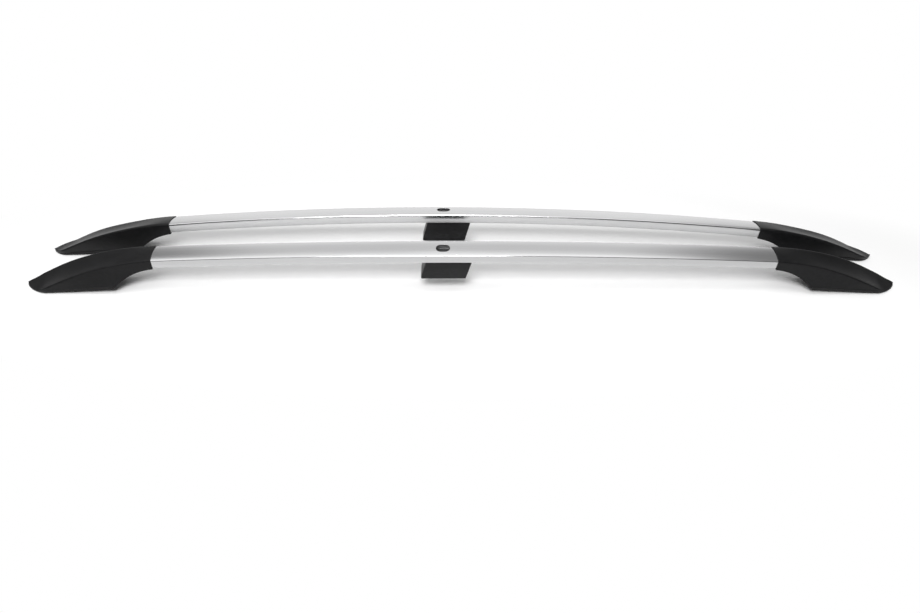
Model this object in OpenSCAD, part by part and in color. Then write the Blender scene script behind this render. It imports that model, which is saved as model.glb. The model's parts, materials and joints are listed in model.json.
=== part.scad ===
// Pair of roof side rails for a passenger car. Each rail is a hollow aluminium bar that
// follows the roof's curve in one long arc, two moulded end feet that taper to a blade
// and a leaning centre foot. The right rail is the mirror image of the left one.
// X runs along the rails with the front of the car at -X, Y across, Z up from the floor.

/* [Rail] */
// Length of a rail from tip to tip
rail_length = 1900; // [1500:10:2300]
// Distance between the middles of the two rails' bases
rail_spacing = 138; // [110:1:220]
// Angle by which each rail's front end is turned outwards
rail_splay = 0.3; // [0:0.05:0.6]
// Length of an end foot from its tip to the mouth that the bar enters
foot_length = 289; // [270:1:340]

/* [Bar] */
// Width of the bar's section
bar_width = 46.5; // [38:0.5:55]
// Height of the bar's outer side, from its crease to its lower edge
outer_side = 19; // [15:0.5:24]
// Height of the bar's inner side
inner_side = 21.5; // [17:0.5:26]
// Slope of the bar's top towards its outer side
top_slope = 9.2; // [4:0.2:14]
// Rise of the bar's crowned top over the line between its two upper edges
crown = 1.8; // [1:0.2:4]
// Radius of the upper edge on the outer side
crease_round = 2.2; // [1:0.1:3.5]
// Radius of the upper edge on the inner side
shoulder_round = 4; // [2:0.1:6]
// Radius of the two lower edges
lower_round = 3; // [1.5:0.1:4]
// Wall of the hollow bar
bar_wall = 2.2; // [1.6:0.1:3]
// Height of the section's middle over the floor, at half length
bar_height = 94.6; // [80:0.2:115]
// Rise of the bar's arc between the mouths of the two end feet
bar_rise = 23.7; // [15:0.1:30]
// Outward bow of the same arc, seen from above
bar_bow = 12.7; // [6:0.1:18]
// Outward offset of the section's middle from the base's middle, at half length
bar_offset = 4.75; // [2:0.25:8]

/* [End feet] */
// Slope of an end foot's base, which follows the roof
base_pitch = 4; // [2:0.1:6]
// Distance from a rail's middle to the base's inner edge
base_inner = 33; // [30:0.5:38]
// Distance from a rail's middle to the base's outer edge
base_outer = 28; // [25:0.5:34]
// Place of the tip's foremost point, inwards from the rail's middle
tip_side = 9; // [0:0.5:14]
// Length of the tip's rounding on the inner side
tip_inner = 36; // [24:1:48]
// Length of the tip's rounding on the outer side
tip_outer = 56; // [45:1:80]
// Height of the blunt nose
nose_height = 6; // [4:0.5:10]
// Radius of the foot's upper inner edge in side view
shoulder_radius = 600; // [520:5:800]
// Slope of that edge at the mouth
shoulder_pitch = 2.4; // [1:0.2:5]
// Distance by which that edge stands out over the base's inner edge
shoulder_lean = 4.4; // [2:0.2:6]
// Radius of the foot's outer crease in side view
crease_radius = 650; // [560:5:820]
// Slope of the crease at the mouth
crease_pitch = 4.5; // [2:0.1:6]
// Distance from the tip at which the crease has reached the base's outer edge
crease_low = 70; // [50:1:90]
// Distance from the tip at which the crease has come in line with the bar
crease_high = 200; // [170:1:235]
// Depth of the flute between the foot's two upper edges
flute = 3; // [1:0.2:4]
// Radius of the foot's upper edges towards its tip
edge_round = 3.5; // [2:0.1:4.5]
// Height of the plinth that runs round the base
plinth_height = 5.5; // [4:0.5:8]
// Step from the plinth in to the side above it
plinth_step = 0.9; // [0.5:0.1:1.5]
// Radius of the arch between the heel and the bar's underside
arch_radius = 131; // [118:1:150]
// Slope of the arch at the mouth
arch_pitch = 7; // [5:0.5:8]
// Angle by which the heel is raked, seen from above
heel_rake = 12; // [8:0.5:18]
// Wall of the moulded feet
foot_wall = 3.2; // [2.4:0.1:4]
// Thickness of the feet's inner ribs
rib = 2.2; // [1.6:0.1:3]
// Distance between the ribs across an end foot
rib_pitch = 44; // [36:1:60]
// Thickness of the lip round the bar at the foot's mouth
lip = 1.4; // [1:0.1:2]
// Depth of the hollow in the mouth's edge, seen from above
mouth_cup = 1.6; // [1:0.1:4]
// Depth of the mouth's groove, which takes the end of the bar
seat_depth = 8; // [6:0.5:10]
// Clearance between the bar and the feet's mouldings
seat_clearance = 0.2; // [0.1:0.05:0.4]
// Length of the foot's hollow tongue inside the bar, from the mouth
tongue_length = 46; // [40:1:60]

/* [Centre foot] */
// Place of the centre foot's bore along the rail
centre_place = -51; // [-90:1:-20]
// Length of the centre foot along the rail
centre_length = 96; // [80:1:120]
// Depth of the centre foot across the rail
centre_depth = 44; // [41:0.5:46]
// Height of the centre foot under the bar
centre_height = 46; // [38:0.5:54]
// Lean of the centre foot's ends
centre_lean = 14.5; // [8:0.5:20]
// Radius of the centre foot's edges
centre_round = 3; // [2:0.1:4]
// Length of the oval hole in the bar's top
hole_length = 29.5; // [25:0.5:36]
// Width of the oval hole
hole_width = 20.5; // [17:0.5:24]

/* [Fastenings] */
// Bore of the centre sleeve, which lets an M6 screw through
screw_bore = 6.6; // [6.2:0.1:7.5]
// Width across the countersink at the sleeve's upper end
sink_width = 12.6; // [12:0.1:13.5]
// Outer width of the centre sleeve
sleeve_width = 15; // [14.5:0.1:18]
// Tapping bore of the M6 bush in an end foot
bush_bore = 5; // [4.5:0.1:5.5]
// Outer width of the bush
bush_width = 12; // [10:0.5:14]
// Length of the bush
bush_length = 24; // [16:1:28]
// Distance from the tip to the bush
bush_place = 118; // [105:1:135]
// Wall of the moulded boss round a bush or sleeve
boss_wall = 3; // [2:0.1:4]
// Clearance round a bush or sleeve in its boss
boss_clearance = 0.1; // [0.05:0.05:0.3]
// Width of a tapping screw's shank
tapper_width = 4; // [3.5:0.1:4.5]
// Length of its shank
tapper_length = 12; // [9:0.5:14]
// Width of its pan head
tapper_head = 8; // [7:0.1:9]
// Height of its head
tapper_head_height = 2.6; // [2:0.1:3]
// Clearance round the shank in its hole
tapper_clearance = 0.1; // [0.05:0.05:0.3]
// Distance from the mouth to the nearest tapping screw
tapper_start = 14; // [11:0.5:16]
// Distance between the two tapping screws of an end foot
tapper_pitch = 18; // [13:0.5:20]
// Distance from the centre bore to each tapping screw
tapper_centre = 27; // [24:0.5:30]

/* [Hidden] */

// Steps along an end foot, and along each part of its section
foot_steps = 44;
corner_steps = 6;
top_steps = 8;
panel_steps = 3;
// Overlap by which a cut runs past the face that it opens
past = 1;
// Sides of a full turn of the bar's arc, and of a round edge or bore
arc_sides = 2880;
round_sides = 48;

// The bar's arc: half its open span, its sag, its tilt from upright and its radius
half_span = rail_length / 2 - foot_length;
arc_sag = sqrt(pow(bar_rise, 2) + pow(bar_bow, 2));
arc_tilt = atan2(bar_bow, bar_rise);
arc_radius = (pow(half_span, 2) + pow(arc_sag, 2)) / (2 * arc_sag);

// The section's four corners, measured from its middle
top_drop = bar_width * tan(top_slope);
top_middle = (outer_side + inner_side) / 4;
low_slope = atan((top_drop - inner_side + outer_side) / bar_width);

// Middle of an end foot's base across the rail
base_middle = (base_inner - base_outer) / 2;

function sag_at(x) = arc_radius - sqrt(pow(arc_radius, 2) - pow(x, 2));
function bar_y(x) = sag_at(x) * sin(arc_tilt) - bar_offset;
function bar_z(x) = bar_height - sag_at(x) * cos(arc_tilt);

// Smooth step from 0 to 1
function ease(t) = let (c = min(1, max(0, t))) c * c * (3 - 2 * c);

// Points that round the corner v between its neighbours a and b
function rounded(a, v, b, r, steps) =
    let (
        to_a = (a - v) / norm(a - v),
        to_b = (b - v) / norm(b - v),
        half = acos(max(-1, min(1, to_a * to_b))) / 2,
        reach = min(r / tan(half), 0.45 * norm(a - v), 0.45 * norm(b - v)),
        r_fit = reach * tan(half),
        middle = v + (to_a + to_b) / norm(to_a + to_b) * r_fit / sin(half),
        start = v + to_a * reach - middle,
        finish = v + to_b * reach - middle,
        first = atan2(start[1], start[0]),
        turn = atan2(start[0] * finish[1] - start[1] * finish[0], start * finish)
    )
    [for (i = [0 : steps]) middle + r_fit * [cos(first + turn * i / steps), sin(first + turn * i / steps)]];

// Points inside a curve that leaves p towards k and reaches q from k
function bowed(p, k, q, steps) =
    [for (i = [1 : steps - 1]) let (t = i / steps) (1 - t) * (1 - t) * p + 2 * t * (1 - t) * k + t * t * q];

// The top of a section, from the inner side over the shoulder and crown to the outer side
function top_line(below_in, shoulder, crease, below_out, rise, r_in, r_out) =
    let (
        across = crease - shoulder,
        up = [across[1], -across[0]] / norm(across),
        peak = (shoulder + crease) / 2 + up * 2 * rise,
        inner = rounded(below_in, shoulder, peak, r_in, corner_steps),
        outer = rounded(peak, crease, below_out, r_out, corner_steps)
    )
    concat(inner, bowed(inner[corner_steps], peak, outer[0], top_steps), outer);

// Corners of the bar's section, moved outwards by d
function top_at(u, d) = top_middle + u * tan(top_slope) + d / cos(top_slope);
function low_at(u, d) = -top_middle + u * tan(low_slope) - d / cos(low_slope);
function inner_top(d) = [bar_width / 2 + d, top_at(bar_width / 2 + d, d)];
function outer_top(d) = [-bar_width / 2 - d, top_at(-bar_width / 2 - d, d)];
function inner_low(d) = [bar_width / 2 + d, low_at(bar_width / 2 + d, d)];
function outer_low(d) = [-bar_width / 2 - d, low_at(-bar_width / 2 - d, d)];

// The bar's section, moved outwards by d: u runs inwards and v up from its middle
function bar_section(d) =
    concat(
        top_line(
            inner_low(d), inner_top(d), outer_top(d), outer_low(d), crown,
            max(0.4, shoulder_round + d), max(0.4, crease_round + d)
        ),
        rounded(outer_top(d), outer_low(d), inner_low(d), max(0.4, lower_round + d), corner_steps),
        rounded(outer_low(d), inner_low(d), inner_top(d), max(0.4, lower_round + d), corner_steps)
    );

// A section swept along the bar's arc, out to the given half length
module swept(d, half_length) {
    half_turn = asin(half_length / arc_radius);
    translate([0, arc_radius * sin(arc_tilt) - bar_offset, bar_height - arc_radius * cos(arc_tilt)])
        rotate([90 + arc_tilt, 0, 0])
            rotate([0, 0, 90 - half_turn])
                rotate_extrude(angle = 2 * half_turn, $fn = arc_sides)
                    polygon([
                        for (p = bar_section(d))
                            [
                                arc_radius - p[0] * sin(arc_tilt) + p[1] * cos(arc_tilt),
                                -p[0] * cos(arc_tilt) - p[1] * sin(arc_tilt)
                            ]
                    ]);
}

// Frame on the bar's underside at x, with Z square to it and pointing up into the bar
module under_bar(x) {
    run = sqrt(pow(arc_radius, 2) - pow(x, 2));
    climb = -x / run * (sin(arc_tilt) * sin(low_slope) + cos(arc_tilt) * cos(low_slope));
    translate([x, bar_y(x), bar_z(x) - top_middle])
        rotate([low_slope, 0, 0])
            rotate([0, -atan(climb), 0])
                children();
}

// Frame on an end foot's base at the bush, with Z square to the base
module on_base() {
    translate([bush_place - rail_length / 2, base_middle, bush_place * tan(base_pitch)])
        rotate([0, -base_pitch, 0])
            children();
}

// The hollow bar with its oval hole, the hole for the sleeve and the tapping screws' holes
module bar() {
    color("silver")
        difference() {
            swept(0, half_span + seat_depth);
            swept(-bar_wall, half_span + seat_depth + past);
            under_bar(centre_place) {
                translate([0, 0, bar_wall + past])
                    linear_extrude(2 * (outer_side + inner_side))
                        oval(hole_length, hole_width);
                translate([0, 0, -past])
                    cylinder(d = sleeve_width + 2 * boss_clearance, h = bar_wall + 3 * past, $fn = round_sides);
            }
            for (x = tapper_places())
                under_bar(x)
                    translate([0, 0, -past])
                        cylinder(d = tapper_width + 2 * tapper_clearance, h = bar_wall + 3 * past, $fn = round_sides);
        }
}

// Places of all the tapping screws along the rail
function end_tapper(i) = half_span - tapper_start - tapper_pitch * i;
function tapper_places() = [
    -end_tapper(0), -end_tapper(1), end_tapper(0), end_tapper(1),
    centre_place - tapper_centre, centre_place + tapper_centre
];

module oval(length, width) {
    for (side = [-1, 1])
        translate([side * (length - width) / 2, 0])
            circle(d = width, $fn = round_sides);
    square([length - width, width], center = true);
}

// Edges of an end foot's base at the distance a from its tip
function tip_round(a, length) = a >= length ? 1 : pow(1 - pow(1 - a / length, 1.7), 0.75);
function inner_edge(a) = tip_side + (base_inner - tip_side) * tip_round(a, tip_inner);
function outer_edge(a) = tip_side - (base_outer + tip_side) * tip_round(a, tip_outer);
function base_z(a) = a * tan(base_pitch);

// Drop of an edge below the mouth, on a circle that leaves the mouth at the given slope
function edge_drop(a, radius, pitch) =
    let (
        lead = radius * sin(pitch),
        run = foot_length - a + lead
    )
    sqrt(pow(radius, 2) - pow(lead, 2)) - sqrt(pow(radius, 2) - pow(run, 2));

// Height over the base that never falls below a least height
function blunt(h, least) = pow(pow(max(h, 0), 4) + pow(least, 4), 0.25);

// The two upper edges of an end foot
mouth = [bar_y(half_span), bar_z(half_span)];
function shoulder_at(a) =
    let (
        inward = inner_edge(a) + shoulder_lean * ease(a / crease_low),
        z = mouth[1] + inner_top(lip)[1] - edge_drop(a, shoulder_radius, shoulder_pitch),
        s = ease((a - crease_low) / (foot_length - crease_low))
    )
    [inward * (1 - s) + (mouth[0] + inner_top(lip)[0]) * s, base_z(a) + blunt(z - base_z(a), nose_height)];
function crease_at(a) =
    let (
        outward = outer_edge(a) + 1.5 * plinth_step,
        z = mouth[1] + outer_top(lip)[1] - edge_drop(a, crease_radius, crease_pitch),
        s = ease((a - crease_low) / (crease_high - crease_low)),
        least = nose_height * (0.55 + 0.45 * ease(a / crease_low))
    )
    [outward * (1 - s) + (mouth[0] + outer_top(lip)[0]) * s, base_z(a) + blunt(z - base_z(a), least)];

// An end foot's section at the distance a from its tip
function foot_section(a) =
    let (
        s = ease((a - crease_high) / (foot_length - crease_high)),
        near_tip = ease(a / crease_low),
        shoulder = shoulder_at(a),
        crease = crease_at(a),
        z = base_z(a),
        plinth = min(plinth_height, 0.5 * (crease[1] - z)),
        step = plinth_step * near_tip,
        out = outer_edge(a) * (1 - s) + (mouth[0] + outer_top(lip)[0]) * s,
        in = inner_edge(a) * (1 - s) + (mouth[0] + inner_top(lip)[0]) * s,
        foot_in = [in - step * (1 - s), z + plinth + plinth_step / 2],
        foot_out = [out + step * (1 - s), z + plinth + plinth_step / 2],
        rise = crown * s - flute * near_tip * (1 - ease((a - crease_high + 60) / (foot_length - crease_high + 60))),
        r_in = edge_round * (1 - s) + (shoulder_round + lip) * s,
        r_out = edge_round * (1 - s) + (crease_round + lip) * s,
        top = top_line(foot_in, shoulder, crease, foot_out, rise, r_in, r_out)
    )
    concat(
        [[in, z], [in, z + plinth], foot_in],
        top,
        [for (i = [1 : panel_steps]) top[len(top) - 1] + (foot_out - top[len(top) - 1]) * i / panel_steps],
        [[out, z + plinth], [out, z]]
    );

// Solid form of the front end foot, down to the base plane along its whole length
module foot_form() {
    reach = foot_length + 2 * mouth_cup;
    rings = [
        for (i = [0 : foot_steps])
            let (a = 0.4 + (reach - 0.4) * pow(i / foot_steps, 1.6))
            [for (p = foot_section(a)) [a - rail_length / 2, p[0], p[1]]]
    ];
    count = len(rings[0]);
    last = foot_steps * count;
    hub = (foot_steps + 1) * count;
    hubs = [for (i = [0, foot_steps]) (rings[i][0] + rings[i][count - panel_steps - 3]) / 2];
    polyhedron(
        points = concat([for (ring = rings) each ring], hubs),
        faces = concat(
            [for (j = [0 : count - 1]) [hub, j, (j + 1) % count]],
            [
                for (i = [0 : foot_steps - 1], j = [0 : count - 1])
                    each [
                        [i * count + j, (i + 1) * count + j, (i + 1) * count + (j + 1) % count],
                        [i * count + j, (i + 1) * count + (j + 1) % count, i * count + (j + 1) % count]
                    ]
            ],
            [for (j = [0 : count - 1]) [hub + 1, last + (j + 1) % count, last + j]]
        ),
        convexity = 6
    );
}

// Space under the arch between the heel and the mouth
module arch_space() {
    crest_z = mouth[1] + outer_low(lip)[1] - (mouth[0] + outer_low(lip)[0]) * tan(low_slope);
    translate([-half_span, 0, crest_z])
        rotate([low_slope, 0, 0])
            rotate([90, 0, -heel_rake])
                translate([arch_radius * sin(arch_pitch), -arch_radius * cos(arch_pitch), 0])
                    cylinder(r = arch_radius, h = 6 * base_inner, center = true, $fn = 4 * round_sides);
}

// Hollow of an end foot, open underneath, with ribs and the boss for the bush left standing
module foot_hollow() {
    start = tip_inner * 0.7;
    end = foot_length - seat_depth - foot_wall;
    steps = 12;
    places = [for (i = [0 : steps]) start - past + (end - start + 2 * past) * i / steps];
    slope = atan2(
        shoulder_at(crease_high)[1] - crease_at(crease_high)[1],
        shoulder_at(crease_high)[0] - crease_at(crease_high)[0]
    );
    difference() {
        intersection() {
            translate([-rail_length / 2, 0, -past])
                linear_extrude(bar_height)
                    polygon(concat(
                        [for (a = [start, tip_inner, end]) [a, inner_edge(a) - 1.5 * foot_wall]],
                        [
                            for (a = [end, for (i = [0 : 4]) tip_outer - (tip_outer - start) * i / 4])
                                [a, outer_edge(a) + 1.5 * foot_wall]
                        ]
                    ));
            translate([-rail_length / 2, 0, 0])
                rotate([slope, 0, 0])
                    rotate([90, 0, 0])
                        linear_extrude(6 * base_inner, center = true)
                            polygon(concat(
                                [[end + past, -bar_height], [start - past, -bar_height]],
                                [for (a = places) [a, ceiling_at(a, slope)]]
                            ));
            outer_lean()
                translate([-rail_length, 0, -bar_height])
                    cube([2 * rail_length, 4 * base_inner, 4 * bar_height]);
        }
        for (i = [1 : floor((end - start) / rib_pitch)])
            translate([start + i * rib_pitch - rail_length / 2 - rib / 2, -2 * base_inner, -2 * past])
                cube([rib, 4 * base_inner, 2 * bar_height]);
        translate([-rail_length / 2, base_middle - rib / 2, -2 * past])
            cube([rail_length / 2, rib, 2 * bar_height]);
        on_base()
            translate([0, 0, -foot_length * sin(base_pitch)])
                cylinder(d = bush_width + 2 * boss_wall, h = 2 * bar_height, $fn = round_sides);
    }
}

// Height of the hollow's ceiling at a, before it is turned to the top's slope
function ceiling_at(a, slope) =
    let (
        shoulder = shoulder_at(a),
        crease = crease_at(a),
        middle = (shoulder + crease) / 2
    )
    (middle[1] - flute - foot_wall) * cos(slope) - middle[0] * sin(slope);

// Frame whose XZ plane lies one wall inside the leaning outer side of an end foot
module outer_lean() {
    top = crease_at(crease_high);
    low = [outer_edge(crease_high), base_z(crease_high)];
    lean = atan2(top[0] - low[0], top[1] - low[1]);
    translate([0, low[0] + 1.3 * foot_wall, low[1]])
        rotate([-lean, 0, 0])
            children();
}

// Part of the rail between the distances a and b from its tip
module stretch(a, b) {
    intersection() {
        translate([a - rail_length / 2, -3 * base_inner, 0])
            cube([b - a, 6 * base_inner, 2 * bar_height]);
        children();
    }
}

// Front end foot's outer form, cut out for the arch, the mouth and the end of the bar
module foot_shell() {
    cup_radius = (pow(bar_width / 2, 2) + pow(mouth_cup, 2)) / (2 * mouth_cup);
    difference() {
        foot_form();
        arch_space();
        translate([cup_radius - mouth_cup - half_span, mouth[0], 0])
            cylinder(r = cup_radius, h = 2 * bar_height, $fn = 4 * round_sides);
        swept(seat_clearance, half_span + seat_depth + seat_clearance);
    }
}

// Moulded front end foot
module end_foot() {
    root = foot_length - seat_depth - foot_wall;
    color([0.09, 0.09, 0.1])
        difference() {
            union() {
                foot_shell();
                stretch(root, foot_length + tongue_length)
                    swept(-bar_wall - seat_clearance, rail_length / 2);
            }
            stretch(root + foot_wall, foot_length + tongue_length + past)
                swept(-bar_wall - seat_clearance - foot_wall, rail_length / 2);
            foot_hollow();
            on_base()
                translate([0, 0, -past])
                    cylinder(
                        d = bush_width + 2 * boss_clearance,
                        h = bush_length + past + boss_clearance,
                        $fn = round_sides
                    );
            for (i = [0, 1])
                under_bar(-end_tapper(i))
                    cylinder(
                        d = tapper_width + 2 * tapper_clearance,
                        h = bar_wall + seat_clearance + foot_wall + past,
                        $fn = round_sides
                    );
        }
}

// Steel bush in an end foot's boss, tapped for the screw that holds the foot to the roof
module bush() {
    color("darkgray")
        on_base()
            difference() {
                cylinder(d = bush_width, h = bush_length, $fn = round_sides);
                translate([0, 0, -past])
                    cylinder(d = bush_bore, h = bush_length + 2 * past, $fn = round_sides);
            }
}

// Moulded centre foot in the frame of the bar's underside: a leaning block, hollow from below
module centre_foot() {
    top = -1.5 * seat_clearance;
    lean = tan(centre_lean);
    far = centre_depth / 2 - centre_round;
    half = centre_length / 2 - centre_round;
    boss = sleeve_width / 2 + boss_wall;
    end = centre_length / 2 - foot_wall / cos(centre_lean);
    low = -centre_height - past;
    color([0.09, 0.09, 0.1])
        under_bar(centre_place)
            difference() {
                hull()
                    for (x = [-half, half], y = [-far, far]) {
                        translate([x + centre_round * lean, y, centre_round - centre_height])
                            sphere(r = centre_round, $fn = 32);
                        translate([x + centre_height * lean, y, top - centre_round])
                            cylinder(r = centre_round, h = centre_round, $fn = 32);
                    }
                for (side = [-1, 1])
                    difference() {
                        translate([0, centre_depth / 2 - foot_wall, 0])
                            rotate([90, 0, 0])
                                linear_extrude(centre_depth - 2 * foot_wall)
                                    polygon([
                                        [side * boss, low],
                                        [side * end - past * lean, low],
                                        [side * end + (centre_height - foot_wall) * lean, -foot_wall],
                                        [side * boss, -foot_wall]
                                    ]);
                        translate([-centre_length, -rib / 2, low])
                            cube([2 * centre_length, rib, centre_height]);
                        translate([side * tapper_centre, 0, low])
                            cylinder(d = tapper_head + 2 * boss_wall, h = centre_height, $fn = round_sides);
                    }
                translate([0, 0, low])
                    cylinder(d = sleeve_width + 2 * boss_clearance, h = 2 * centre_height, $fn = round_sides);
                for (side = [-1, 1])
                    translate([side * tapper_centre, 0, low]) {
                        cylinder(
                            d = tapper_head + 4 * tapper_clearance,
                            h = centre_height + past - tapper_length / 2,
                            $fn = round_sides
                        );
                        cylinder(d = tapper_width + 2 * tapper_clearance, h = 2 * centre_height, $fn = round_sides);
                    }
            }
}

// Steel sleeve through the centre foot, countersunk for the screw's head inside the bar
module centre_sleeve() {
    sink = (sink_width - screw_bore) / 2;
    color("darkgray")
        under_bar(centre_place)
            difference() {
                translate([0, 0, -centre_height])
                    cylinder(d = sleeve_width, h = centre_height + bar_wall, $fn = round_sides);
                translate([0, 0, -centre_height - past])
                    cylinder(d = screw_bore, h = centre_height + bar_wall + 2 * past, $fn = round_sides);
                translate([0, 0, bar_wall - sink])
                    cylinder(d1 = screw_bore, d2 = sink_width, h = sink, $fn = round_sides);
            }
}

// Tapping screw that enters the bar from below, with its head the given depth under the bar
module tapper(x, depth) {
    color("dimgray")
        under_bar(x)
            translate([0, 0, -depth - tapper_clearance]) {
                cylinder(d = tapper_width, h = tapper_length, $fn = round_sides);
                translate([0, 0, -tapper_head_height])
                    cylinder(d = tapper_head, h = tapper_head_height, $fn = round_sides);
            }
}

// Tapping screws: the i-th of a front end foot, and the one on the given side of the centre foot
module front_tapper(i) {
    tapper(-end_tapper(i), 0);
}

module centre_tapper(side) {
    tapper(centre_place + side * tapper_centre, tapper_length / 2);
}

module left() {
    translate([0, -rail_spacing / 2, 0])
        rotate([0, 0, rail_splay])
            children();
}

module right() {
    mirror([0, 1, 0]) left() children();
}

module rear() {
    mirror([1, 0, 0]) children();
}

left() bar();  // left_bar
left() end_foot();  // left_front_foot
left() rear() end_foot();  // left_rear_foot
left() centre_foot();  // left_centre_foot
left() bush();  // left_front_bush
left() rear() bush();  // left_rear_bush
left() centre_sleeve();  // left_centre_sleeve
left() front_tapper(0);  // left_front_screw_1
left() front_tapper(1);  // left_front_screw_2
left() rear() front_tapper(0);  // left_rear_screw_1
left() rear() front_tapper(1);  // left_rear_screw_2
left() centre_tapper(-1);  // left_centre_screw_1
left() centre_tapper(1);  // left_centre_screw_2
right() bar();  // right_bar
right() end_foot();  // right_front_foot
right() rear() end_foot();  // right_rear_foot
right() centre_foot();  // right_centre_foot
right() bush();  // right_front_bush
right() rear() bush();  // right_rear_bush
right() centre_sleeve();  // right_centre_sleeve
right() front_tapper(0);  // right_front_screw_1
right() front_tapper(1);  // right_front_screw_2
right() rear() front_tapper(0);  // right_rear_screw_1
right() rear() front_tapper(1);  // right_rear_screw_2
right() centre_tapper(-1);  // right_centre_screw_1
right() centre_tapper(1);  // right_centre_screw_2
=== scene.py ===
"""Pair of car roof side rails: satin aluminium bars on black moulded feet, on a white floor.

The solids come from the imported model. This script dresses each of them, adds the small
details that the solids leave out, and sets up the floor, the lights and the camera.
"""
from __future__ import annotations

import json
import logging
import math
from dataclasses import dataclass, field
from enum import Enum
from typing import Any, Callable, Sequence

import bmesh
import bpy
from mathutils import Matrix, Vector

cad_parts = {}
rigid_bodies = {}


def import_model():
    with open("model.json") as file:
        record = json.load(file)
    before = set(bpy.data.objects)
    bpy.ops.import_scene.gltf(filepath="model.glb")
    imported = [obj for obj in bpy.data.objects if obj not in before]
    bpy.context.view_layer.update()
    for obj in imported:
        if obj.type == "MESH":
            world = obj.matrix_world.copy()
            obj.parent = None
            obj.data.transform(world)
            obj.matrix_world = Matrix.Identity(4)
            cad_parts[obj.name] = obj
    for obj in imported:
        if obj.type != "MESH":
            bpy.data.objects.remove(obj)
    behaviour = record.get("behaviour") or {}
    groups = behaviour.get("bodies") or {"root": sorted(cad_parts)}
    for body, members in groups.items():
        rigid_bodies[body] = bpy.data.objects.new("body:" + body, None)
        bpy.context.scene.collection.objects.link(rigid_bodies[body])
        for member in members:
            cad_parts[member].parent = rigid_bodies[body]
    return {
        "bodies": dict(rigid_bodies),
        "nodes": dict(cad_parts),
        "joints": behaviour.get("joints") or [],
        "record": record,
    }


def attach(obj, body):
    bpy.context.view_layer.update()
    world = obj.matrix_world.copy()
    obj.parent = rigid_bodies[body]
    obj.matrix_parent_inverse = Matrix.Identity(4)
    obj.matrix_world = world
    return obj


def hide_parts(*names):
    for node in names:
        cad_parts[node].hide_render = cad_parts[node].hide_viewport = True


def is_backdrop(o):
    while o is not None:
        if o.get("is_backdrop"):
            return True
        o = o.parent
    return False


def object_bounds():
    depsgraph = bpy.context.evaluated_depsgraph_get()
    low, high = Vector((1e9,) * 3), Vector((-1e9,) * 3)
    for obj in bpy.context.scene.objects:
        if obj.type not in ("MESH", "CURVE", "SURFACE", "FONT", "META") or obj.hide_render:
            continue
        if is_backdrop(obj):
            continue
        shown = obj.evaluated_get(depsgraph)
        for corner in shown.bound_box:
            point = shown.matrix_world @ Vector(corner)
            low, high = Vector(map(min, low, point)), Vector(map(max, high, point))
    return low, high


log = logging.getLogger("roof_rails")

MM = 0.001
Colour = tuple[float, float, float]
Point = tuple[float, float, float]
# A smooth step's start and end, a smooth window's two steps, and a ramp's places and levels.
Step = tuple[float, float]
Window = tuple[float, float, float, float]
Stops = tuple[tuple[float, float], ...]
SizeLog = dict[str, Any]


def grey(level: float) -> Colour:
    """Neutral colour of a level."""
    return (level, level, level)


def shaded(colour: Colour, factor: float) -> Colour:
    """A colour made darker or lighter, up to full."""
    return tuple(min(1.0, part * factor) for part in colour)


def clamped(value: float) -> float:
    """A value kept between 0 and 1."""
    return max(0.0, min(1.0, value))


def new_object(name: str, data: bpy.types.ID) -> bpy.types.Object:
    """Puts a new object into the scene.

    Args:
        name: The object's name.
        data: Its mesh, lamp or camera.

    Returns:
        The object.
    """
    made = bpy.data.objects.new(name, data)
    bpy.context.scene.collection.objects.link(made)
    return made


class Side(Enum):
    """The two rails, with the sign that mirrors the left one into the other."""

    LEFT = 1
    RIGHT = -1

    @property
    def label(self) -> str:
        """The rail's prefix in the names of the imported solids."""
        return self.name.lower()


class End(Enum):
    """The two ends of a rail, with the sign of their place along X."""

    FRONT = -1
    REAR = 1

    @property
    def label(self) -> str:
        """The end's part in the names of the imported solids."""
        return self.name.lower()


@dataclass(frozen=True)
class Layout:
    """Where the rails and their fixings lie, in metres and degrees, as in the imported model."""

    half_length: float = 0.95
    spacing: float = 0.138
    splay: float = 0.3
    base_pitch: float = 4.0
    base_middle: float = 0.0025
    bush_place: float = 0.118
    mouth: float = 0.661
    centre: float = -0.051
    end_screws: tuple[float, float] = (0.014, 0.032)
    centre_screws: float = 0.027
    screw_sink: float = 0.006
    screw_clearance: float = 0.0001

    def frame(self, side: Side, end: End = End.FRONT) -> Matrix:
        """Turns a front end's own frame into the whole model's.

        Args:
            side: The rail.
            end: The end of the rail.

        Returns:
            The frame's matrix.
        """
        shift = Matrix.Translation((0.0, -self.spacing / 2, 0.0))
        splay = Matrix.Rotation(math.radians(self.splay), 4, "Z")
        mirror = Matrix.Diagonal((1.0, float(side.value), 1.0, 1.0))
        swap = Matrix.Diagonal((-float(end.value), 1.0, 1.0, 1.0))
        return mirror @ shift @ splay @ swap

    def on_base(self) -> Matrix:
        """Frame at the bush, square to a front foot's base.

        Returns:
            The frame's matrix.
        """
        pitch = math.radians(self.base_pitch)
        height = self.bush_place * math.tan(pitch)
        place = (self.bush_place - self.half_length, self.base_middle, height)
        return Matrix.Translation(place) @ Matrix.Rotation(-pitch, 4, "Y")


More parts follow.
